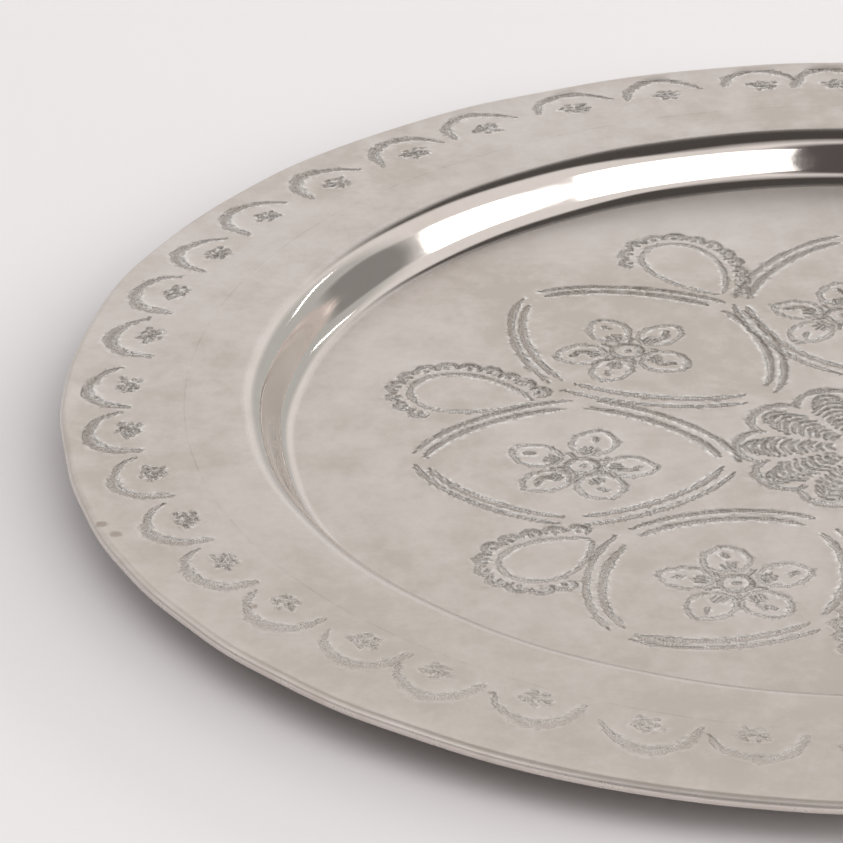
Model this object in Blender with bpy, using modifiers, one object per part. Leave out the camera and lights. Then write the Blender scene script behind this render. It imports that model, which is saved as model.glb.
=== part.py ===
"""Offering plate: a shallow round tray of thin plated sheet, its edge rolled round a stiffening wire.

Metres, +Z up. The origin is at the centre of the underside of the floor, the face the plate stands on.
"""

from math import cos, radians, sin

import bpy

MM = 0.001

# Driving dimensions, in millimetres and degrees.
PLATE_RADIUS = 150.0
SHEET = 0.7
RIM_TOP = 9.9
WELL_EDGE = 116.5  # where the flat rim starts to turn down
SHOULDER_ROUND = 5.0
FOOT_ROUND = 4.0
FLOOR_RADIUS = 106.5  # where the flat floor starts to turn up
WALL_LEAN = 25.0  # the wall's slope away from the vertical
ROLL_ROUND = 1.2
ROLL_RISE = 0.15  # how far the rolled edge stands above the rim
ROLL_START, ROLL_END = 105.0, -165.0
WIRE_ROUND = 0.4
SECTORS = 96

SILVER = (0.77, 0.75, 0.72, 1.0)
IRON = (0.38, 0.37, 0.36, 1.0)


def clear_scene():
    """Empties the startup scene."""
    for obj in list(bpy.data.objects):
        bpy.data.objects.remove(obj)


def make_material(name, colour, roughness):
    """A plain metal, named for the node it dresses."""
    material = bpy.data.materials.new(name)
    material.use_nodes = True
    shader = material.node_tree.nodes["Principled BSDF"]
    shader.inputs["Base Color"].default_value = colour
    shader.inputs["Metallic"].default_value = 1.0
    shader.inputs["Roughness"].default_value = roughness
    return material


def arc(centre, radius, start, end, steps):
    """Points along an arc in the (r, z) plane, both ends included."""
    turns = (radians(start + (end - start) * i / steps) for i in range(steps + 1))
    return [(centre[0] + radius * cos(t), centre[1] + radius * sin(t)) for t in turns]


def dish_profile():
    """Half of the dish's section, from the floor's top at the axis round the rolled edge to its underside."""
    foot = (FLOOR_RADIUS, SHEET + FOOT_ROUND)
    shoulder = (WELL_EDGE, RIM_TOP - SHOULDER_ROUND)
    roll = (PLATE_RADIUS - ROLL_ROUND, RIM_TOP + ROLL_RISE - ROLL_ROUND)
    bend = PLATE_RADIUS - 2.0 * ROLL_ROUND - 1.0
    top = [(0.0, SHEET)]
    top += arc(foot, FOOT_ROUND, -90.0, -WALL_LEAN, 5)
    top += arc(shoulder, SHOULDER_ROUND, 180.0 - WALL_LEAN, 90.0, 5)
    top += [(bend, RIM_TOP)]
    curl = arc(roll, ROLL_ROUND, ROLL_START, ROLL_END, 12)
    curl += arc(roll, ROLL_ROUND - SHEET, ROLL_END, ROLL_START, 9)
    under = [(bend, RIM_TOP - SHEET)]
    under += arc(shoulder, SHOULDER_ROUND - SHEET, 90.0, 180.0 - WALL_LEAN, 5)
    under += arc(foot, FOOT_ROUND + SHEET, -WALL_LEAN, -90.0, 5)
    under += [(0.0, 0.0)]
    return top + curl + under


def wire_profile():
    """The wire's round section, centred in the rolled edge."""
    centre = (PLATE_RADIUS - ROLL_ROUND, RIM_TOP + ROLL_RISE - ROLL_ROUND)
    return arc(centre, WIRE_ROUND, 180.0, -180.0, 12)[:-1]


def turned(name, profile, closed, material, home):
    """A solid turned about Z from a section in the (r, z) plane."""
    count = len(profile)
    edges = [(i, i + 1) for i in range(count - 1)]
    if closed:
        edges.append((count - 1, 0))
    mesh = bpy.data.meshes.new(name)
    mesh.from_pydata([(r * MM, 0.0, z * MM) for r, z in profile], edges, [])
    mesh.materials.append(material)
    obj = bpy.data.objects.new(name, mesh)
    home.objects.link(obj)
    screw = obj.modifiers.new("turn", "SCREW")
    screw.axis = "Z"
    screw.steps = screw.render_steps = SECTORS
    screw.use_merge_vertices = True
    screw.merge_threshold = 0.00001
    screw.use_smooth_shade = True
    return obj


def build():
    """The two pieces: the dish and the wire inside its rolled edge."""
    clear_scene()
    home = bpy.data.collections.new("offering_plate")
    bpy.context.scene.collection.children.link(home)
    turned("dish", dish_profile(), False, make_material("dish", SILVER, 0.3), home)
    turned("edge_wire", wire_profile(), True, make_material("edge_wire", IRON, 0.5), home)


build()
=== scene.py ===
"""Offering plate: the chased dish as one closed mesh, and the wire rolled into its edge.

Lengths are in millimetres until a mesh is made; the lights and the table are in metres.
Angles on the plate are in degrees, counterclockwise from +X.
"""

from math import atan2, cos, degrees, exp, pi, radians, sin, sqrt, tan, tau

import bpy
import numpy as np
from mathutils import Matrix, Vector
from mathutils.geometry import delaunay_2d_cdt


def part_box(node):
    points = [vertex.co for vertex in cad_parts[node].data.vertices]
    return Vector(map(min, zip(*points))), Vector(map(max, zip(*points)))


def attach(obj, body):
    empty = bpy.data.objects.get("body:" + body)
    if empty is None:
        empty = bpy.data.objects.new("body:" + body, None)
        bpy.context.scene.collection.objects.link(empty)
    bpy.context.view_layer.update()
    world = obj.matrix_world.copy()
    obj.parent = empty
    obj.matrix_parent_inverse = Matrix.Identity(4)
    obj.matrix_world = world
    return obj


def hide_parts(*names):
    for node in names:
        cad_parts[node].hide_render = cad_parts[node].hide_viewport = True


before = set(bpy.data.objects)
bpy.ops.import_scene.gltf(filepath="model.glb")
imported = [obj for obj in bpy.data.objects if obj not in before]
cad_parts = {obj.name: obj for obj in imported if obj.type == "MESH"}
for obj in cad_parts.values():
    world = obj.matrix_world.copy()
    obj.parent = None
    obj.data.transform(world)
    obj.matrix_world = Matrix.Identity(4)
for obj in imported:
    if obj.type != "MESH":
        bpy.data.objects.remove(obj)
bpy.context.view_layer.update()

MM = 0.001
PLATE_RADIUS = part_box("dish")[1][0] / MM

# The sheet's section, as part.py turns it.
SHEET = 0.7
RIM_TOP = 9.9
WELL_EDGE = 116.5
SHOULDER_ROUND = 5.0
FOOT_ROUND = 4.0
FLOOR_RADIUS = 106.5
WALL_LEAN = 25.0
ROLL_ROUND = 1.2
ROLL_RISE = 0.15
ROLL_START, ROLL_END = 105.0, -165.0
RIM_FLAT_END = PLATE_RADIUS - 2.0 * ROLL_ROUND - 1.0
WIRE_ROUND = 0.4

# The mesh.
FINE = 0.5  # spacing of the points that carry the chasing
SECTORS = 360
COARSEST = 3  # the plain sheet's points stand 2 ** 3 times as far apart
# each finer level, and how far it reaches past the one before, in steps of FINE
COARSENING = ((0, 0), (1, 2), (2, 4))
ROW = sqrt(0.75)  # from one row of a triangular grid to the next, in spacings
UNDERSIDE_SPACING = 7.0
ROLL_STEPS = 16
POLISHED_RINGS = range(5, 14)  # of the rolled edge, counted from the rim
NO_HOLE = -9.0  # an inner radius that leaves nothing out
MERGE = 1e-7  # points closer than this count as one

# The wear of the chasing toward the near side: where it begins and is full, what it takes away.
WEAR_BEGINS, WEAR_FULL, WEAR = 30.0, 110.0, 0.5

# A cut's cross-section. Crests, spreads and reach are shares of its half width.
GROOVE_POWER = 0.8
LIP_CREST, LIP_SPREAD = 1.15, 0.3
GLEAM_CREST, GLEAM_SPREAD = 1.1, 0.35
CUT_REACH = 1.7
CUT_MARGIN = 0.35  # past the reach, in millimetres
FINE_MARGIN = 0.3  # how far past a cut, in millimetres, the points stay close together

HAND = np.random.default_rng(1907)  # every small irregularity of the handwork


# ---------------------------------------------------------------------------- strokes


class Stroke:
    """A tool's path over the sheet: points, with the half width and depth at each.

    The cut's painted shade is at the right of the path where lean is 1, and at its left where it is -1.
    """

    def __init__(self, points, half_width, depth, taper, burr_gleam, rough=0.25, ink=1.0, lean=1.0):
        self.points = np.array(points, float)
        steps = np.hypot(*np.diff(self.points, axis=0).T)
        self.along = np.concatenate([[0.0], np.cumsum(steps)])
        share = self.along / max(self.along[-1], 1e-6)
        ends = np.clip(np.minimum(share, 1.0 - share) / max(taper, 1e-6), 0.0, 1.0)
        fade = np.sqrt(ends) if taper else np.ones_like(share)
        wobble = 1.0 + rough * HAND.normal(0.0, 0.45, len(share))
        self.half_width = half_width * (0.3 + 0.7 * fade) * np.clip(wobble, 0.75, 1.3)
        self.depth = depth * (0.15 + 0.85 * fade) * np.clip(wobble[::-1], 0.6, 1.4)
        self.burr_gleam = burr_gleam
        self.ink = ink
        self.lean = lean
        self.start = HAND.uniform(0.0, 50.0)


def smooth_path(points, step=1.0):
    """A Catmull-Rom curve through the points, sampled about every step."""
    p = np.array(points, float)
    p = np.concatenate([2 * p[:1] - p[1:2], p, 2 * p[-1:] - p[-2:-1]])
    out = []
    for a, b, c, d in zip(p[:-3], p[1:-2], p[2:-1], p[3:]):
        count = max(1, round(float(np.hypot(*(c - b))) / step))
        for t in np.arange(count) / count:
            out.append(
                0.5 * (2 * b + (c - a) * t + (2 * a - 5 * b + 4 * c - d) * t**2
                       + (3 * b - a - 3 * c + d) * t**3)
            )
    out.append(p[-2])
    return np.array(out)


def placed(points, centre, turn):
    """Points of a motif's own axes, turned by an angle and moved to its centre."""
    c, s = cos(radians(turn)), sin(radians(turn))
    p = np.array(points, float)
    return p @ np.array([[c, s], [-s, c]]) + np.array(centre, float)


def polar(radius, angle):
    return radius * cos(radians(angle)), radius * sin(radians(angle))


def circle():
    """The angles of a closed round stroke, and its points on a unit circle."""
    t = np.radians(np.linspace(0.0, 360.0, 25))
    return t, np.stack([np.cos(t), np.sin(t)], 1)


# ---------------------------------------------------------------------------- border

BORDER_COUNT = 44
BORDER_FIRST = 101.4
BORDER_SEEN = 20  # steps of the slightly tighter run at the left
BORDER_STEP = 8.105
BORDER_CENTRE = (-2.1, 3.9)  # the ring of seeds was struck a little off the plate's axis
BORDER_RADIUS = 134.2
# where the ring of seeds strays: angle, reach in degrees, millimetres outward
BORDER_STRAYS = ((188.0, 8.5, 2.4), (138.0, 14.0, -1.6))
SEED_MARKS = 13
SEED_TURN = 137.5  # between one mark of a seed and the next, so that they fill it evenly


def border_angle(k):
    """Where the k-th seed stands, with the slow drift of work as measured."""
    if k <= BORDER_SEEN:
        return BORDER_FIRST + BORDER_STEP * k + 1.0 * sin(tau * (k - 4.5) / 18.0) - 0.2
    turned = BORDER_FIRST + BORDER_STEP * BORDER_SEEN
    rest = BORDER_FIRST + 360.0 - turned
    return turned + rest * (k - BORDER_SEEN) / (BORDER_COUNT - BORDER_SEEN)


def border_radius(angle):
    a = radians(angle)
    stray = sum(
        outward * exp(-(((angle - middle) / reach) ** 2)) for middle, reach, outward in BORDER_STRAYS
    )
    return BORDER_RADIUS + BORDER_CENTRE[0] * cos(a) + BORDER_CENTRE[1] * sin(a) + stray


def crescent(angle, radius, skew):
    """A crescent of the border, from points of tangential run, counterclockwise, and radial rise."""
    jolt = HAND.normal(0.0, 0.35, (5, 2))
    shape = np.array([
        (8.2 + 0.6 * skew, 0.4 - 1.8 * skew),
        (6.8 + 0.8 * skew, 4.4),
        (0.6 + 2.0 * skew, 7.6),
        (-4.6 + 0.4 * skew, 5.3),
        (-8.2 + 0.9 * skew, 1.0 + 0.4 * skew),
    ]) + jolt * [[1.0], [0.6], [0.5], [0.6], [1.0]]
    path = smooth_path(shape, 0.8)
    r = radius + path[:, 1]
    around = np.radians(angle + np.degrees(path[:, 0] / r))
    return np.stack([r * np.cos(around), r * np.sin(around)], 1)


def seed(angle, radius):
    """The rough seed under a crescent: a tight cluster of small punch marks."""
    centre = polar(radius, angle)
    strokes = []
    for k in range(SEED_MARKS):
        turn, reach = SEED_TURN * k, 0.66 * sqrt(k)
        at = np.array([reach * cos(radians(turn)), 1.25 * reach * sin(radians(turn))])
        at = at + HAND.normal(0.0, 0.18, 2)
        way = HAND.uniform(-0.7, 0.7)
        half = HAND.uniform(0.2, 0.55) * np.array([sin(way), cos(way)])
        mark = placed([at - half, at + half], centre, angle)
        strokes.append(Stroke(mark, 0.46, HAND.uniform(0.1, 0.3), 0.0, 0.7, ink=0.75))
    return strokes


def border():
    """The crescents round the rim, with a seed in each."""
    strokes = []
    for k in range(BORDER_COUNT):
        angle = border_angle(k) + HAND.normal(0.0, 0.25)
        radius = border_radius(angle) + HAND.normal(0.0, 0.35)
        skew = float(np.clip((angle - 112.0) / 35.0, 0.15, 1.0))
        path = crescent(angle, radius, skew)
        bow = Stroke(path, 1.1, 0.26, 0.5, 0.4, 0.6, lean=-1.0)
        heavy = np.linspace(1.2 + 0.25 * skew, 0.8 - 0.1 * skew, len(path))
        bow.half_width *= heavy
        bow.depth *= heavy * HAND.uniform(0.85, 1.1)
        strokes.append(bow)
        strokes += seed(angle, radius)
    return strokes


# ---------------------------------------------------------------------------- floor


def oval(centre, length, width, tilt, power):
    """A pointed oval in four doubled arcs, with gaps at its tips and sides."""
    strokes = []
    for side in range(4):
        # the outer line of each pair, then the inner one, which starts and stops a little later
        for grow, half_width, late_start, early_stop in ((1.5, 0.66, 0.0, 3.0), (-1.5, 0.78, 3.0, 0.0)):
            first = 90.0 * side + HAND.uniform(1.5, 5.0) + late_start
            last = 90.0 * side + 90.0 - HAND.uniform(1.5, 5.0) - early_stop
            t = np.radians(np.linspace(first, last, 26))
            c, s = np.cos(t), np.sin(t)
            reach = np.abs(c / (length + grow)) ** power + np.abs(s / (width + grow)) ** power
            r = reach ** (-1 / power)
            path = placed(np.stack([r * c, r * s], 1), centre, tilt)
            path = path + HAND.normal(0.0, 0.2, 2)
            strokes.append(Stroke(path, half_width, HAND.uniform(0.12, 0.2), 0.12, 0.6, 0.4))
    return strokes


PETALS = 5
# short lines between a flower's petals and up each petal: turn off its way, start, stop
PETAL_LINES = ((36.0, 3.6, 5.6), (0.0, 5.4, 7.6), (9.0, 5.6, 7.2), (-9.0, 5.6, 7.2))


def flower(centre, turn):
    """A boss with outlined petals round it."""
    t, round_points = circle()
    strokes = [
        Stroke(centre + round_points * 2.9, 0.6, 0.2, 0.0, 0.5),
        Stroke([centre, np.add(centre, (0.2, 0.1))], 0.75, 0.24, 0.0, 0.5),
    ]
    for k in range(PETALS):
        way = turn + 360.0 / PETALS * k + HAND.normal(0.0, 4.0)
        reach = 9.2 * HAND.uniform(0.95, 1.05)
        wide = 4.0 * HAND.uniform(0.92, 1.08)
        petal = round_points * (4.9, wide)
        petal[:, 1] *= 1.0 - HAND.uniform(0.1, 0.4) * np.cos(t) ** 4 - 0.1 * np.cos(t)
        petal += HAND.normal(0.0, 0.12, petal.shape) * (round_points[:, :1] < 0.97)
        petal[:, 0] += reach
        petal = placed(petal, centre, way)
        strokes.append(Stroke(petal, 0.56, HAND.uniform(0.09, 0.17), 0.0, 0.6, 0.5, ink=0.6))
        hollow = [(reach - 2.2, -0.4), (reach - 0.6, -1.2), (reach + 1.4, -1.0)]
        if HAND.uniform() < 0.5:
            strokes.append(Stroke(placed(smooth_path(hollow), centre, way), 0.7, 0.16, 0.4, 0.3))
        dot = [(reach + 0.8, -0.3), (reach + 1.9, 0.2)]
        strokes.append(Stroke(placed(dot, centre, way), 0.6, HAND.uniform(0.1, 0.3), 0.0, 0.5))
        for off, start, stop in PETAL_LINES:
            line = placed([(start, 0.0), (stop, 0.0)], centre, way + off)
            strokes.append(Stroke(line, 0.4, 0.15, 0.0, 0.4))
    return strokes


BEAD_OFF = 2.7  # from a leaf's outline to its row of beads
BEAD_FIRST, BEAD_STEP = 2.5, 4.3
BEADED_SHARE = 0.72


def leaf(tip, heading, length, width):
    """A teardrop outline with a row of scalloped beads along most of it."""
    t = np.radians(np.linspace(12.0, 348.0, 44))
    swell = np.sin(t / 2.0)
    body = np.stack([
        length * (1.0 - np.cos(t)) / 2.0,
        -width / 2.0 * np.sin(t) * swell**0.7 * 1.12,
    ], 1)
    strokes = [Stroke(placed(body, tip, heading), 0.6, 0.15, 0.08, 0.5, 0.5, ink=0.7)]
    away = np.gradient(body, axis=0)
    away = np.stack([away[:, 1], -away[:, 0]], 1)
    away /= np.linalg.norm(away, axis=1)[:, None]
    row = body + away * BEAD_OFF
    along = np.concatenate([[0.0], np.cumsum(np.hypot(*np.diff(row, axis=0).T))])
    for at in np.arange(BEAD_FIRST, along[-1] * BEADED_SHARE, BEAD_STEP):
        spot = [np.interp(at, along, row[:, axis]) for axis in (0, 1)]
        out_x, out_y = (np.interp(at, along, away[:, axis]) for axis in (0, 1))
        way = degrees(atan2(out_y, out_x))
        bend = np.radians(np.linspace(-115.0, 115.0, 9))
        bead = np.stack([1.5 * np.cos(bend), 1.75 * np.sin(bend)], 1) * HAND.uniform(0.9, 1.12)
        bead = placed(bead, spot, way + HAND.normal(0.0, 8.0))
        strokes.append(Stroke(placed(bead, tip, heading), 0.72, HAND.uniform(0.2, 0.3), 0.3, 0.6))
        dot = placed([(-0.5, 0.0), (0.1, 0.2)], spot, way)
        strokes.append(Stroke(placed(dot, tip, heading), 0.5, HAND.uniform(0.1, 0.3), 0.0, 0.5))
    return strokes


ROSETTE_CENTRE = (-0.5, -9.0)
ROSETTE_TURN = 111.0
ROSETTE_PETALS = 10
RIBS, RIB_FIRST, RIB_STEP = 10, 5.2, 1.72


def rosette(centre):
    """Ribbed petals round the middle, each closed by a bold scallop."""
    strokes = []
    step = 360.0 / ROSETTE_PETALS
    for k in range(ROSETTE_PETALS):
        way = ROSETTE_TURN + step * k + HAND.normal(0.0, 1.2)
        for rib in range(RIBS):
            r = RIB_FIRST + RIB_STEP * rib
            half = tan(radians(step * 0.38)) * r * (1.0 if rib < 8 else 1.0 - 0.18 * (rib - 7))
            across = np.linspace(-half, half, 9)
            bow = r + 1.2 - min(3.0, 0.16 * r) * (across / half) ** 2
            path = placed(np.stack([bow, across], 1), centre, way)
            strokes.append(Stroke(path, 0.5, HAND.uniform(0.2, 0.3), 0.3, 0.6, 0.4))
        bend = np.radians(np.linspace(-96.0, 96.0, 17))
        reach = HAND.normal(0.0, 0.3)
        edge = np.stack([18.4 + reach + 5.1 * np.cos(bend), 6.1 * np.sin(bend)], 1)
        edge = placed(edge, centre, way)
        strokes.append(Stroke(edge, 0.95, HAND.uniform(0.18, 0.3), 0.4, 0.4, 0.5))
    _, round_points = circle()
    strokes.append(Stroke(centre + round_points * 3.0, 0.6, 0.18, 0.0, 0.5))
    return strokes


# oval: centre, half length, half width, tilt and power; then its flower: centre and turn
OVALS = (
    ((-2.5, 51.5), 30.0, 22.6, 92.0, 1.6, (-5.4, 46.1), 20.0),
    ((-42.9, 31.3), 30.8, 22.9, 139.4, 1.57, (-46.2, 28.6), 47.0),
    ((-53.4, -17.5), 29.0, 23.1, 181.2, 1.57, (-52.0, -19.3), 8.0),
    ((-24.3, -60.3), 26.1, 23.1, 230.9, 1.7, (-22.2, -62.0), 30.0),
    ((27.2, -53.6), 28.5, 22.8, 298.0, 1.6, (28.6, -52.0), 12.0),
    ((53.6, -9.4), 29.0, 22.6, 356.0, 1.6, (52.4, -11.0), 40.0),
    ((37.4, 36.4), 29.5, 22.6, 44.0, 1.6, (36.0, 38.2), 65.0),
)
# leaf: angle and radius of its tip, heading, length and width
LEAVES = (
    (174.3, 63.1, 169.0, 24.0, 17.0),
    (118.0, 61.5, 122.0, 26.0, 15.5),
    (224.0, 67.5, 226.0, 20.0, 15.0),
    (275.5, 64.0, 272.0, 23.0, 15.5),
    (326.0, 63.0, 322.0, 24.0, 16.0),
    (18.5, 63.5, 14.0, 24.0, 15.5),
    (68.5, 62.0, 66.0, 25.0, 15.5),
)
SLIP = ((-38.7, -81.3), (-34.0, -83.6), (-28.8, -84.9))  # of the chisel, past an oval


def chasing():
    """Every stroke cut into the sheet."""
    strokes = border()
    for centre, length, width, tilt, power, middle, turn in OVALS:
        strokes += oval(centre, length, width, tilt, power)
        strokes += flower(middle, turn)
    for angle, radius, heading, length, width in LEAVES:
        strokes += leaf(polar(radius, angle), heading, length, width)
    strokes += rosette(ROSETTE_CENTRE)
    strokes.append(Stroke(smooth_path(SLIP), 1.3, 0.24, 0.4, 0.3))
    return strokes


# ---------------------------------------------------------------------------- lattice


class Lattice:
    """A triangular grid over the plate that the strokes are cut into."""

    def __init__(self, spacing, reach):
        self.spacing = spacing
        rows = int(reach / (spacing * ROW)) + 2
        columns = int(reach / spacing) + rows // 2 + 2
        self.rows, self.columns = rows, columns
        j, i = np.mgrid[-rows : rows + 1, -columns : columns + 1]
        self.i, self.j = i, j
        self.x = (i + 0.5 * j) * spacing
        self.y = j * spacing * ROW
        self.radius = np.hypot(self.x, self.y)
        shape = self.x.shape
        self.cut = np.zeros(shape)
        self.lip = np.zeros(shape)
        self.ink = np.zeros(shape)
        self.along = np.zeros(shape)
        self.across = np.zeros(shape)
        self.burr_gleam = np.zeros(shape)
        self.fine = np.zeros(shape, bool)

    def window(self, low, high):
        """The slice of the grid that holds a box."""
        tall = self.spacing * ROW
        j0, j1 = int(low[1] // tall), int(high[1] // tall) + 1
        i0 = int((low[0] / self.spacing) - 0.5 * j1) - 1
        i1 = int((high[0] / self.spacing) - 0.5 * j0) + 2
        return (
            slice(max(0, j0 + self.rows), j1 + self.rows + 1),
            slice(max(0, i0 + self.columns), i1 + self.columns + 1),
        )

    def cut_stroke(self, stroke):
        for k in range(len(stroke.points) - 1):
            self.cut_segment(stroke, k)

    def cut_segment(self, stroke, k):
        a, b = stroke.points[k], stroke.points[k + 1]
        wide = max(stroke.half_width[k], stroke.half_width[k + 1])
        reach = wide * CUT_REACH + CUT_MARGIN
        at = self.window(np.minimum(a, b) - reach, np.maximum(a, b) + reach)
        x, y = self.x[at] - a[0], self.y[at] - a[1]
        dx, dy = b - a
        long = max(dx * dx + dy * dy, 1e-9)
        t = np.clip((x * dx + y * dy) / long, 0.0, 1.0)
        away = np.hypot(x - t * dx, y - t * dy)
        half = stroke.half_width[k] * (1 - t) + stroke.half_width[k + 1] * t
        depth = stroke.depth[k] * (1 - t) + stroke.depth[k + 1] * t
        share = away / half
        inside = np.clip(1.0 - share**2, 0.0, 1.0)
        groove = depth * inside**GROOVE_POWER
        lip = stroke.burr_gleam * depth * np.exp(-(((share - LIP_CREST) / LIP_SPREAD) ** 2)) * (share > 0.9)
        deeper = groove > self.cut[at]
        self.along[at] = np.where(
            deeper, stroke.start + stroke.along[k] + t * sqrt(long), self.along[at]
        )
        # which side of the cut each point lies on, for the cut's painted shade and painted highlight
        side = stroke.lean * (x * dy - y * dx) / sqrt(long) / half
        self.across[at] = np.where(deeper, np.clip(side, -1.0, 1.0), self.across[at])
        self.cut[at] = np.maximum(self.cut[at], groove)
        self.ink[at] = np.maximum(self.ink[at], stroke.ink * inside**GROOVE_POWER)
        self.lip[at] = np.maximum(self.lip[at], lip)
        # where the lip takes a painted highlight, strongest on the side away from the cut's painted
        # shade
        crest = np.exp(-(((share - GLEAM_CREST) / GLEAM_SPREAD) ** 2))
        crest = crest * np.clip(2.0 * stroke.burr_gleam, 0.0, 1.0)
        self.burr_gleam[at] = np.maximum(self.burr_gleam[at], crest * np.clip(0.7 - side, 0.25, 1.0))
        self.fine[at] |= away < half + FINE_MARGIN

    def height(self):
        """The chasing's rise and depth, worn toward the near side."""
        near_fade = 1.0 - WEAR * ramp(WEAR_BEGINS, WEAR_FULL, -self.y)
        return near_fade * (self.lip * (self.cut <= 0.0) - self.cut)

    def grown(self, mask, steps):
        """The mask, with each point's six neighbours taken in at each step."""
        for _ in range(steps):
            wider = mask.copy()
            wider[1:, :] |= mask[:-1, :]
            wider[:-1, :] |= mask[1:, :]
            wider[:, 1:] |= mask[:, :-1]
            wider[:, :-1] |= mask[:, 1:]
            wider[1:, :-1] |= mask[:-1, 1:]
            wider[:-1, 1:] |= mask[1:, :-1]
            mask = wider
        return mask

    def levels(self):
        """How coarse the mesh may be at each grid point, as a power of two."""
        need = np.full(self.x.shape, COARSEST)
        mask = self.fine
        for level, steps in COARSENING:
            mask = self.grown(mask, steps)
            need = np.where(mask & (need > level), level, need)
        return need

    def chosen(self, inner, outer):
        """Indices of the grid points kept between two radii."""
        need = self.levels()
        keep = np.zeros(self.x.shape, bool)
        for level in range(COARSEST + 1):
            size = 2**level
            on = (self.i % size == 0) & (self.j % size == 0)
            room = 0.5 * self.spacing * size
            clear = (self.radius < outer - room) & (self.radius > inner + room)
            keep |= on & (need <= level) & clear
        return np.nonzero(keep)


# ---------------------------------------------------------------------------- section


def arc(centre, radius, start, end, steps):
    """Points of an arc in the section, each a radius from the axis and a height."""
    turns = np.radians(np.linspace(start, end, steps + 1))
    return [(centre[0] + radius * cos(t), centre[1] + radius * sin(t)) for t in turns]


FOOT = (FLOOR_RADIUS, SHEET + FOOT_ROUND)
SHOULDER = (WELL_EDGE, RIM_TOP - SHOULDER_ROUND)
ROLL = (PLATE_RADIUS - ROLL_ROUND, RIM_TOP + ROLL_RISE - ROLL_ROUND)


def well_section():
    """From the floor's edge up the wall to the rim."""
    section = arc(FOOT, FOOT_ROUND, -90.0, -WALL_LEAN, 7)
    top = arc(SHOULDER, SHOULDER_ROUND, 180.0 - WALL_LEAN, 90.0, 7)
    (r0, z0), (r1, z1) = section[-1], top[0]
    section += [(r0 + (r1 - r0) * s, z0 + (z1 - z0) * s) for s in (0.33, 0.67)]
    return section + top


def edge_section():
    """From the rim over the roll, round inside it and back under the sheet to the floor."""
    section = [(RIM_FLAT_END, RIM_TOP)]
    section += arc(ROLL, ROLL_ROUND, ROLL_START, ROLL_END, ROLL_STEPS)
    section += arc(ROLL, ROLL_ROUND - SHEET, ROLL_END, ROLL_START, 8)
    section += [(r, RIM_TOP - SHEET) for r in (RIM_FLAT_END, 136.0, 126.0)]
    section += arc(SHOULDER, SHOULDER_ROUND - SHEET, 90.0, 180.0 - WALL_LEAN, 4)
    section += arc(FOOT, FOOT_ROUND + SHEET, -WALL_LEAN, -90.0, 4)
    return section


def ring(radius):
    """A vertex at each sector's start, on a circle round the axis."""
    t = np.arange(SECTORS) * tau / SECTORS
    return np.stack([radius * np.cos(t), radius * np.sin(t)], 1)


def sectors(first, second):
    """Quads between two rings whose first vertices are given, facing the section's left."""
    k = np.arange(SECTORS)
    n = (k + 1) % SECTORS
    return np.stack([first + k, first + n, second + n, second + k], 1)


# ---------------------------------------------------------------------------- hand shaping


class Waves:
    """A slow, seeded undulation round the plate."""

    def __init__(self, orders, strength):
        self.orders = np.array(list(orders), float)
        share = 1.0 / np.sqrt(self.orders)
        size = strength * share / np.sqrt((share**2).sum())
        self.size = size * HAND.uniform(0.5, 1.5, len(share))
        self.phase = HAND.uniform(0.0, tau, len(share))

    def __call__(self, angle):
        return (self.size * np.sin(np.multiply.outer(angle, self.orders) + self.phase)).sum(-1)


def ramp(low, high, x):
    """A smooth rise from 0 at low to 1 at high."""
    t = np.clip((x - low) / (high - low), 0.0, 1.0)
    return t * t * (3.0 - 2.0 * t)


OUTLINE = Waves(range(5, 46), 0.2)
RIM_SAG = Waves(range(2, 9), 0.22)
RIM_RIPPLE = Waves(range(9, 34), 0.05)
WALL_DRIFT = Waves(range(3, 24), 0.12)
# where each of them sets in and where it is full, from the axis outward
OUTLINE_SPAN = (138.0, 149.0)
RIM_SAG_SPAN = (104.0, 148.0)
RIM_RIPPLE_SPAN = (116.0, 140.0)
WALL_SPAN, WALL_END_SPAN = (92.0, 108.0), (114.0, 126.0)
FLOOR_END_SPAN = (98.0, 106.0)
SAG = 0.05
# the floor's ripples: radians per millimetre, phase, way
FLOOR_SAG = [
    (HAND.uniform(0.03, 0.09), HAND.uniform(0.0, tau), HAND.uniform(0.0, pi)) for _ in range(14)
]


def shaped(points):
    """The points of the ideal dish after the hand work: a worn, slightly wavy sheet."""
    x, y, z = points.T
    radius = np.hypot(x, y)
    angle = np.arctan2(y, x)
    out = OUTLINE(angle) * ramp(*OUTLINE_SPAN, radius)
    out += WALL_DRIFT(angle) * ramp(*WALL_SPAN, radius) * (1.0 - ramp(*WALL_END_SPAN, radius))
    lift = RIM_SAG(angle) * ramp(*RIM_SAG_SPAN, radius)
    lift += RIM_RIPPLE(angle) * ramp(*RIM_RIPPLE_SPAN, radius)
    sag = sum(
        SAG * np.sin(pitch * (x * cos(way) + y * sin(way)) + phase) for pitch, phase, way in FLOOR_SAG
    ) / sqrt(len(FLOOR_SAG))
    lift += (sag + SAG) * (1.0 - ramp(*FLOOR_END_SPAN, radius))
    scale = 1.0 + out / np.maximum(radius, 1.0)
    return np.stack([x * scale, y * scale, z + lift], 1)


# ---------------------------------------------------------------------------- the dish


def flat_faces(points, inner_count):
    """Triangles over the points, without those that bridge the first inner_count of them."""
    _, _, faces, _, _, _ = delaunay_2d_cdt([Vector(p) for p in points], [], [], 0, MERGE)
    faces = np.array(faces)
    return faces[~(faces < inner_count).all(1)] if inner_count else faces


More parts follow.
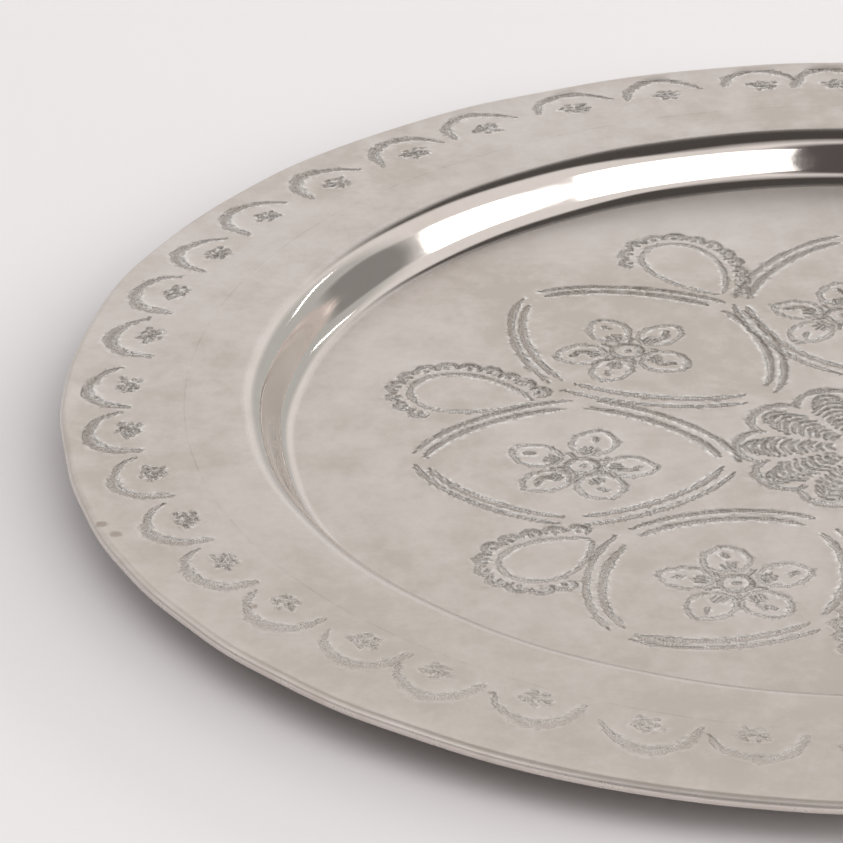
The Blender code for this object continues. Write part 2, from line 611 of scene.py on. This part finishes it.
class Builder:
    """Collects vertices, faces and what the material reads at each vertex."""

    def __init__(self):
        self.blocks, self.traits, self.quads, self.triangles = [], [], [], []
        self.count = 0

    def add(self, points, polish, back=0.0, traits=None):
        first = self.count
        self.blocks.append(np.asarray(points, float))
        if traits is None:
            traits = np.zeros((len(points), 4))
        plain = np.tile([polish, back], (len(points), 1))
        self.traits.append(np.column_stack([plain, traits]))
        self.count += len(points)
        return first

    def add_ring(self, radius, height, polish, back=0.0):
        return self.add(np.column_stack([ring(radius), np.full(SECTORS, height)]), polish, back)


def add_chased(build, lattice, inner, outer, height, inner_ring, outer_ring):
    """A flat of the sheet with its chasing, joined to the rings at its edges."""
    at = lattice.chosen(inner, outer)
    flat = np.column_stack([lattice.x[at], lattice.y[at]])
    lift = lattice.height()[at]
    traits = np.column_stack([
        lattice.ink[at], lattice.along[at], lattice.across[at], lattice.burr_gleam[at],
    ])
    first = build.add(np.column_stack([flat, height + lift]), 0.0, traits=traits)
    parts, index = [], []
    if inner_ring is not None:
        parts.append(ring(inner))
        index.append(inner_ring + np.arange(SECTORS))
    parts += [ring(outer), flat]
    index += [outer_ring + np.arange(SECTORS), first + np.arange(len(flat))]
    faces = flat_faces(np.concatenate(parts), SECTORS if inner_ring is not None else 0)
    build.triangles.append(np.concatenate(index)[faces])


def add_underside(build, edge_ring):
    """The foot's flat face, in coarse triangles that face down."""
    size = UNDERSIDE_SPACING
    rows, columns = 18, 30
    j, i = np.mgrid[-rows : rows + 1, -columns : columns + 1]
    x, y = (i + 0.5 * j) * size, j * size * ROW
    keep = np.hypot(x, y) < FLOOR_RADIUS - 0.5 * size
    flat = np.column_stack([x[keep], y[keep]])
    first = build.add(np.column_stack([flat, np.zeros(len(flat))]), 0.0, 1.0)
    faces = flat_faces(np.concatenate([ring(FLOOR_RADIUS), flat]), 0)
    index = np.concatenate([edge_ring + np.arange(SECTORS), first + np.arange(len(flat))])
    build.triangles.append(index[faces][:, ::-1])


def dish_build():
    lattice = Lattice(FINE, RIM_FLAT_END)
    for stroke in chasing():
        lattice.cut_stroke(stroke)
    build = Builder()
    section = well_section()
    shine = 1.0 - np.abs(np.linspace(-1.0, 1.0, len(section))) ** 5
    well = [build.add_ring(r, z, p) for (r, z), p in zip(section, shine)]
    edge = []
    for k, (r, z) in enumerate(edge_section()):
        polish = 0.3 if k in POLISHED_RINGS else 0.0
        back = 1.0 if k > ROLL_STEPS else 0.0
        edge.append(build.add_ring(r, z, polish, back))
    for low, high in zip(well, well[1:]):
        build.quads.append(sectors(low, high)[:, ::-1])
    for low, high in zip(edge, edge[1:]):
        build.quads.append(sectors(low, high)[:, ::-1])
    add_chased(build, lattice, NO_HOLE, FLOOR_RADIUS, SHEET, None, well[0])
    add_chased(build, lattice, WELL_EDGE, RIM_FLAT_END, RIM_TOP, well[-1], edge[0])
    add_underside(build, edge[-1])
    return build


def mesh_from(name, build):
    points = shaped(np.concatenate(build.blocks)) * MM
    quads, triangles = np.concatenate(build.quads), np.concatenate(build.triangles)
    mesh = bpy.data.meshes.new(name)
    mesh.vertices.add(len(points))
    mesh.vertices.foreach_set("co", points.ravel())
    mesh.loops.add(quads.size + triangles.size)
    mesh.loops.foreach_set("vertex_index", np.concatenate([quads.ravel(), triangles.ravel()]))
    mesh.polygons.add(len(quads) + len(triangles))
    starts = np.concatenate([
        np.arange(len(quads)) * 4, quads.size + np.arange(len(triangles)) * 3,
    ])
    mesh.polygons.foreach_set("loop_start", starts)
    mesh.update(calc_edges=True)
    mesh.validate()
    mesh.shade_smooth()
    traits = np.concatenate(build.traits)
    for k, trait in enumerate(("polish", "back", "ink", "along", "across", "burr_gleam")):
        layer = mesh.attributes.new(trait, "FLOAT", "POINT")
        layer.data.foreach_set("value", np.ascontiguousarray(traits[:, k], np.float32))
    return mesh


def show(name, mesh, material):
    obj = bpy.data.objects.new(name, mesh)
    bpy.context.scene.collection.objects.link(obj)
    mesh.materials.append(material)
    return obj


# ---------------------------------------------------------------------------- materials


class Nodes:
    """Short calls for the nodes of one material."""

    COLOUR_A, COLOUR_B, COLOUR_OUT = 6, 7, 2  # a mix node's colour sockets

    def __init__(self, name):
        self.material = bpy.data.materials.new(name)
        self.material.use_nodes = True
        self.tree = self.material.node_tree
        self.shader = self.tree.nodes["Principled BSDF"]

    @classmethod
    def for_world(cls, world):
        """The same calls for the world's nodes."""
        world.use_nodes = True
        made = cls.__new__(cls)
        made.tree = world.node_tree
        return made

    def put(self, socket, value):
        if isinstance(value, bpy.types.NodeSocket):
            self.tree.links.new(value, socket)
        else:
            socket.default_value = value

    def math(self, operation, a, b=None, c=None):
        node = self.tree.nodes.new("ShaderNodeMath")
        node.operation = operation
        for socket, value in zip(node.inputs, (a, b, c)):
            if value is not None:
                self.put(socket, value)
        return node.outputs[0]

    def vector(self, operation, a, b=None):
        node = self.tree.nodes.new("ShaderNodeVectorMath")
        node.operation = operation
        self.put(node.inputs[0], a)
        if b is not None:
            self.put(node.inputs[1], b)
        return node.outputs["Value" if operation in ("LENGTH", "DOT_PRODUCT") else "Vector"]

    def position(self):
        """Object position in millimetres."""
        node = self.tree.nodes.new("ShaderNodeTexCoord")
        return self.vector("MULTIPLY", node.outputs["Object"], (1.0 / MM,) * 3)

    def noise(self, at, scale, detail=2.0, rough=0.5):
        node = self.tree.nodes.new("ShaderNodeTexNoise")
        self.put(node.inputs["Vector"], at)
        node.inputs["Scale"].default_value = scale
        node.inputs["Detail"].default_value = detail
        node.inputs["Roughness"].default_value = rough
        return node.outputs["Fac"]

    def span(self, value, low, high, new_low=0.0, new_high=1.0):
        """The value carried from one range to another, and held at its ends."""
        node = self.tree.nodes.new("ShaderNodeMapRange")
        self.put(node.inputs["Value"], value)
        ends = {"From Min": low, "From Max": high, "To Min": new_low, "To Max": new_high}
        for key, number in ends.items():
            self.put(node.inputs[key], number)
        return node.outputs["Result"]

    def mix(self, factor, a, b):
        node = self.tree.nodes.new("ShaderNodeMix")
        node.data_type = "RGBA"
        self.put(node.inputs["Factor"], factor)
        self.put(node.inputs[self.COLOUR_A], a)
        self.put(node.inputs[self.COLOUR_B], b)
        return node.outputs[self.COLOUR_OUT]

    def trait(self, name):
        node = self.tree.nodes.new("ShaderNodeAttribute")
        node.attribute_name = name
        return node.outputs["Fac"]

    def separate(self, at):
        node = self.tree.nodes.new("ShaderNodeSeparateXYZ")
        self.put(node.inputs[0], at)
        return node.outputs

    def combine(self, x, y, z):
        node = self.tree.nodes.new("ShaderNodeCombineXYZ")
        for socket, value in zip(node.inputs, (x, y, z)):
            self.put(socket, value)
        return node.outputs[0]

    def bump(self, height, distance, strength, normal=None):
        node = self.tree.nodes.new("ShaderNodeBump")
        node.inputs["Strength"].default_value = strength
        node.inputs["Distance"].default_value = distance
        self.put(node.inputs["Height"], height)
        if normal is not None:
            self.put(node.inputs["Normal"], normal)
        return node.outputs["Normal"]


BRIGHT = (0.735, 0.675, 0.64, 1.0)
DULL_AND_SHADE = (0.60, 0.54, 0.485, 1.0)
# tarnish of the back and of the scribed line, and the painted shade in the cuts
TARNISH_AND_SHADE = (0.25, 0.215, 0.18, 1.0)
# the colour of the painted highlights in and beside the cuts
GLINT = (0.97, 0.94, 0.91, 1.0)
PAINTED_SHEEN = (0.90, 0.85, 0.81, 1.0)
RUST = (0.26, 0.19, 0.145, 1.0)
IRON = (0.34, 0.33, 0.32, 1.0)
IRON_RUST = (0.22, 0.18, 0.15, 1.0)
TABLE_PALE = (0.93, 0.90, 0.905, 1.0)
TABLE_MOTTLE = (0.915, 0.885, 0.89, 1.0)
HATCH_PITCH = 0.58  # between the teeth of a cut
SCRIBED_RADIUS = 127.0
# where the plate is dulled most: x, y, reach, strength
HAZE = (
    (-45.0, 45.0, 50.0, 0.8),
    (5.0, 58.0, 36.0, 0.5),
    (-100.0, 90.0, 34.0, 0.4),
    (20.0, -95.0, 45.0, 0.4),
    (0.0, 126.0, 55.0, 0.55),
)
# small brown spots: x, y, radius
MARKS = (
    (-134.5, -63.0, 1.0),
    (-131.5, -66.5, 1.1),
    (-86.0, 13.5, 0.35),
    (-104.0, -91.0, 0.7),
    (-61.0, -118.0, 0.5),
)


def silver_material():
    """Worn silver plate: satin flats, a polished wall, toothed cuts with painted shade and highlights,
    tarnish, a painted sheen by the far wall and a dulled back.
    """
    n = Nodes("worn_silver")
    at = n.position()
    x, y, _ = n.separate(at)
    flat = n.combine(x, y, 0.0)
    radius = n.vector("LENGTH", flat)
    around = n.math("ARCTAN2", y, x)
    ink, along, across, burr_gleam = (n.trait(t) for t in ("ink", "along", "across", "burr_gleam"))
    polish = n.trait("polish")

    broad = n.noise(at, 0.03, 4.0, 0.6)
    patch = n.noise(at, 0.12, 6.0, 0.7)
    grain = n.noise(at, 1.7, 3.0, 0.6)
    fine = n.noise(at, 0.5, 6.0, 0.75)
    facets = n.noise(at, 1.3, 1.0, 0.5)
    lathe = n.combine(n.math("MULTIPLY", radius, 1.3), n.math("MULTIPLY", around, 6.0), 0.0)
    turned = n.noise(lathe, 2.0, 3.0)

    # the sheet's colour: bright, dulled in clouds, and darker toward the near side, partly patina and
    # partly painted shade for the near rim's dimmer reflection
    near = n.span(y, 60.0, -150.0, 0.0, 0.62)
    dull_and_shade = n.math("MULTIPLY", n.span(broad, 0.33, 0.64), n.span(patch, 0.32, 0.66))
    dull_and_shade = n.math("ADD", n.math("MULTIPLY", dull_and_shade, 0.8), near)
    dull_and_shade = n.math("ADD", dull_and_shade, n.span(fine, 0.35, 0.7, -0.12, 0.3))
    for haze_x, haze_y, reach, strength in HAZE:
        off = n.vector("LENGTH", n.vector("SUBTRACT", flat, (haze_x, haze_y, 0.0)))
        haze = n.span(off, reach, 0.2 * reach, 0.0, strength)
        haze = n.math("MULTIPLY", haze, n.span(patch, 0.3, 0.55, 0.4, 1.0))
        dull_and_shade = n.math("ADD", dull_and_shade, haze)
    dull_and_shade = n.math("MULTIPLY", dull_and_shade, n.span(polish, 0.0, 0.5, 1.0, 0.3))
    colour = n.mix(dull_and_shade, BRIGHT, DULL_AND_SHADE)
    colour = n.mix(n.math("MULTIPLY", n.trait("back"), 0.9), colour, TARNISH_AND_SHADE)
    # painted sheen: the floor beside the far wall, at the left, lightened for the wall's reflection in
    # it
    painted_sheen = n.math("MULTIPLY", n.span(y, 58.0, 95.0, 0.0, 0.7), n.span(radius, 108.0, 103.0))
    painted_sheen = n.math("MULTIPLY", painted_sheen, n.span(x, 0.0, -40.0))
    colour = n.mix(painted_sheen, colour, PAINTED_SHEEN)

    # the cuts: teeth across them, with painted shade on one side and painted highlights on the other
    # side and on the lip
    wave = n.math("ADD", along, n.math("MULTIPLY", grain, 1.1))
    wave = n.math("MULTIPLY", wave, tau / HATCH_PITCH)
    teeth = n.math("SINE", wave)
    # the cuts' painted shade and painted highlights fade toward the near side
    near_fade = n.span(y, -20.0, -105.0, 1.0, 0.22)
    cut = n.math("MULTIPLY", ink, near_fade)
    # darker in random facets and in the hollows between the teeth, with painted shade on one side of
    # the cut
    stain_and_shade = n.span(facets, 0.4, 0.66, 0.0, 0.2)
    stain_and_shade = n.math("ADD", stain_and_shade, n.span(across, 0.0, 0.7, 0.0, 0.42))
    stain_and_shade = n.math("ADD", stain_and_shade, n.span(teeth, 0.2, -1.0, 0.0, 0.22))
    scribe = n.math("COMPARE", radius, SCRIBED_RADIUS, 0.16)
    scribe = n.math("MULTIPLY", scribe, n.span(patch, 0.4, 0.6, 0.0, 0.2))
    colour = n.mix(n.math("ADD", n.math("MULTIPLY", stain_and_shade, cut), scribe), colour, TARNISH_AND_SHADE)
    # painted highlights: on the lip beside each cut and on the cut's side away from its painted shade
    crest = n.math("MULTIPLY", burr_gleam, n.span(facets, 0.35, 0.6, 0.15, 1.0))
    crest = n.math("MULTIPLY", crest, n.math("SUBTRACT", 1.0, n.math("MINIMUM", ink, 1.0)))
    gleam = n.math("MULTIPLY", ink, n.span(across, -0.1, -0.7, 0.0, 0.7))
    crest = n.math("ADD", crest, n.math("MULTIPLY", gleam, n.span(facets, 0.3, 0.6, 0.3, 1.0)))
    colour = n.mix(n.math("MULTIPLY", crest, n.math("ADD", near_fade, 0.2)), colour, GLINT)
    for mark_x, mark_y, size in MARKS:
        off = n.vector("LENGTH", n.vector("SUBTRACT", flat, (mark_x, mark_y, 0.0)))
        off = n.math("ADD", off, n.math("MULTIPLY", grain, 1.2))
        colour = n.mix(n.span(off, size + 0.3, size + 0.9, 0.55, 0.0), colour, RUST)
    n.put(n.shader.inputs["Base Color"], colour)
    metal = n.span(polish, 0.0, 0.8, 0.5, 0.98)
    n.put(n.shader.inputs["Metallic"], n.math("MAXIMUM", metal, n.math("MULTIPLY", cut, 0.65)))

    rough = n.span(patch, 0.25, 0.8, 0.33, 0.43)
    rough = n.math("ADD", rough, n.span(turned, 0.3, 0.7, -0.02, 0.03))
    rough = n.math("SUBTRACT", rough, n.math("MULTIPLY", polish, 0.3))
    rough = n.math("SUBTRACT", rough, n.math("MULTIPLY", cut, 0.15))
    rough = n.math("SUBTRACT", rough, n.math("MULTIPLY", crest, 0.12))
    rough = n.math("MAXIMUM", rough, 0.06)
    n.put(n.shader.inputs["Roughness"], rough)

    relief = n.math("ADD", n.math("MULTIPLY", teeth, 0.6), n.span(facets, 0.0, 1.0, -1.1, 1.1))
    relief = n.math("MULTIPLY", relief, n.math("MINIMUM", n.math("MULTIPLY", cut, 1.6), 1.0))
    normal = n.bump(turned, 0.008 * MM, 0.4)
    normal = n.bump(grain, 0.012 * MM, 0.2, normal)
    normal = n.bump(relief, 0.16 * MM, 1.0, normal)
    n.put(n.shader.inputs["Normal"], normal)
    return n.material


def iron_material():
    """Plain iron wire, spotted with rust."""
    n = Nodes("wire_iron")
    at = n.position()
    spots = n.noise(at, 0.8, 4.0)
    n.put(n.shader.inputs["Base Color"], n.mix(spots, IRON, IRON_RUST))
    n.shader.inputs["Metallic"].default_value = 1.0
    n.put(n.shader.inputs["Roughness"], n.span(spots, 0.2, 0.8, 0.4, 0.65))
    n.put(n.shader.inputs["Normal"], n.bump(spots, 0.03 * MM, 0.5))
    return n.material


def table_material():
    """A plain pale table top with the faintest mottle."""
    n = Nodes("pale_table")
    at = n.position()
    cloud = n.noise(at, 0.006, 2.0)
    n.put(n.shader.inputs["Base Color"], n.mix(cloud, TABLE_PALE, TABLE_MOTTLE))
    n.shader.inputs["Roughness"].default_value = 0.75
    n.shader.inputs["Specular IOR Level"].default_value = 0.15
    return n.material


# ---------------------------------------------------------------------------- studio

LENS = 213.52
SENSOR = 36.0
CAMERA_RISE = 26.845
CAMERA_REACH = 933.9
CAMERA_PAN, CAMERA_TILT, CAMERA_ROLL = 5.080, 0.577, 1.293

HORIZON = (0.92, 0.90, 0.885, 1.0)
WINDOW_SIDE = (1.08, 1.07, 1.065, 1.0)
WINDOW_LOW = (0.30, 0.29, 0.29, 1.0)
SKIRTING = (0.58, 0.57, 0.565, 1.0)
NEAR_LOW = (0.30, 0.275, 0.285, 1.0)
OVER_FAR = (0.07, 0.065, 0.06, 1.0)
OVER_NEAR = (1.20, 1.165, 1.155, 1.0)
# darker places in the room: bearing, rise, cosines where each begins and is full, colour
CORNERS = (
    (-10.5, 25.0, (0.84, 0.93), (0.10, 0.09, 0.09, 1.0)),
    (135.0, 4.0, (0.80, 0.90), (0.56, 0.58, 0.56, 1.0)),
    (111.0, 5.0, (0.96, 0.983), (0.29, 0.29, 0.28, 1.0)),
)

WHITE = (1.0, 1.0, 1.0)
COOL_WHITE = (0.97, 1.0, 1.0)
TABLE_HALF = 6.0  # metres


def toward(bearing, rise):
    """The unit vector from the plate to a place in the room."""
    b, e = radians(bearing), radians(rise)
    return Vector((sin(b) * cos(e), -cos(b) * cos(e), sin(e)))


def add_camera():
    """At the photograph's angle: raised over the near edge, panned to the plate's left half."""
    rise = radians(CAMERA_RISE)
    down = Vector((0, -sin(rise), -cos(rise)))
    ahead = Vector((0, cos(rise), -sin(rise)))
    axes = Matrix((Vector((1, 0, 0)), down, ahead))
    turn = (
        Matrix.Rotation(radians(CAMERA_ROLL), 3, "Z")
        @ Matrix.Rotation(radians(CAMERA_TILT), 3, "X")
        @ Matrix.Rotation(radians(CAMERA_PAN), 3, "Y")
    )
    right, down, ahead = turn @ axes
    facing = Matrix((right, -down, -ahead)).transposed()
    data = bpy.data.cameras.new("camera")
    data.lens, data.sensor_width = LENS, SENSOR
    data.clip_start, data.clip_end = 0.01, 50.0
    camera = bpy.data.objects.new("camera", data)
    bpy.context.scene.collection.objects.link(camera)
    place = Vector((0.0, -CAMERA_REACH * cos(rise), RIM_TOP + CAMERA_REACH * sin(rise))) * MM
    camera.matrix_world = Matrix.Translation(place) @ facing.to_4x4()
    bpy.context.scene.camera = camera


def add_light(name, bearing, rise, reach, size, power, colour=WHITE, mirrored=True):
    """A soft box that faces the plate. Bearing 0 is behind the camera, 90 at the plate's right.

    Where it isn't mirrored, it lights matt surfaces only and doesn't show in the polished wall.
    """
    data = bpy.data.lights.new(name, "AREA")
    data.shape = "RECTANGLE"
    data.size, data.size_y = size
    data.energy = power
    data.color = colour
    light = bpy.data.objects.new(name, data)
    bpy.context.scene.collection.objects.link(light)
    back = toward(bearing, rise)
    light.location = back * reach
    light.rotation_mode = "QUATERNION"
    light.rotation_quaternion = back.to_track_quat("Z", "Y")
    light.visible_glossy = mirrored


def add_world():
    """The room round the table: pale all round, dimmer low down, dark over the far side."""
    world = bpy.data.worlds.new("studio")
    bpy.context.scene.world = world
    n = Nodes.for_world(world)
    way = n.tree.nodes.new("ShaderNodeTexCoord").outputs["Generated"]
    right, far, high = n.separate(way)
    overhead = n.mix(n.span(far, -0.25, -0.7), OVER_FAR, OVER_NEAR)
    low_far = n.math("MULTIPLY", n.span(high, 0.38, 0.12), n.span(far, 0.2, 0.6))
    window = n.mix(n.span(high, 0.5, 0.25), WINDOW_SIDE, WINDOW_LOW)
    grey = n.mix(low_far, n.mix(n.span(right, -0.1, -0.7), HORIZON, window), SKIRTING)
    low_near = n.math("MULTIPLY", n.span(high, 0.30, 0.10), n.span(far, -0.1, -0.5))
    grey = n.mix(low_near, grey, NEAR_LOW)
    middle = n.math("SUBTRACT", high, n.math("MULTIPLY", n.math("ABSOLUTE", right), 1.25))
    over = n.math("MULTIPLY", n.span(high, 0.58, 0.72), n.span(middle, 0.16, 0.30))
    grey = n.mix(over, grey, overhead)
    for bearing, rise, (begins, full), colour in CORNERS:
        facing = n.vector("DOT_PRODUCT", way, toward(bearing, rise))
        grey = n.mix(n.span(facing, begins, full), grey, colour)
    n.put(n.tree.nodes["Background"].inputs["Color"], grey)


def add_table():
    corners = [(x * TABLE_HALF, y * TABLE_HALF, 0.0) for x, y in ((-1, -1), (1, -1), (1, 1), (-1, 1))]
    mesh = bpy.data.meshes.new("table")
    mesh.from_pydata(corners, [], [(0, 1, 2, 3)])
    mesh.update()
    show("table", mesh, table_material())


def add_studio():
    add_table()
    add_world()
    # name, bearing, rise, reach, size, power
    add_light("panel_near", 40.0, 24.0, 3.0, (2.42, 1.1), 17.0)
    add_light("panel_side", 77.5, 13.0, 3.0, (2.2, 0.9), 15.0, COOL_WHITE)
    add_light("panel_back", 138.0, 13.0, 3.0, (2.4, 0.8), 50.0, mirrored=False)
    add_light("panel_over", 20.0, 62.0, 3.0, (2.5, 2.5), 25.0, mirrored=False)
    add_light("strip", 143.0, 27.0, 2.0, (0.03, 0.5), 0.5)


# ---------------------------------------------------------------------------- pieces


def add_dish():
    dish = show("chased_dish", mesh_from("chased_dish", dish_build()), silver_material())
    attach(dish, "root")
    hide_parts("dish")


def add_wire():
    """The iron wire, following the edge that is rolled round it."""
    section = arc(ROLL, WIRE_ROUND, 180.0, -180.0, 10)[:-1]
    points = np.concatenate([np.column_stack([ring(r), np.full(SECTORS, z)]) for r, z in section])
    faces = [
        sectors(k * SECTORS, (k + 1) % len(section) * SECTORS)[:, ::-1] for k in range(len(section))
    ]
    mesh = bpy.data.meshes.new("rolled_wire")
    mesh.from_pydata((shaped(points) * MM).tolist(), [], np.concatenate(faces).tolist())
    mesh.update()
    mesh.shade_smooth()
    wire = show("rolled_wire", mesh, iron_material())
    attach(wire, "root")
    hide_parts("edge_wire")


add_camera()
add_studio()
add_dish()
add_wire()
bpy.context.scene.view_settings.view_transform = "Standard"

bpy.context.view_layer.update()
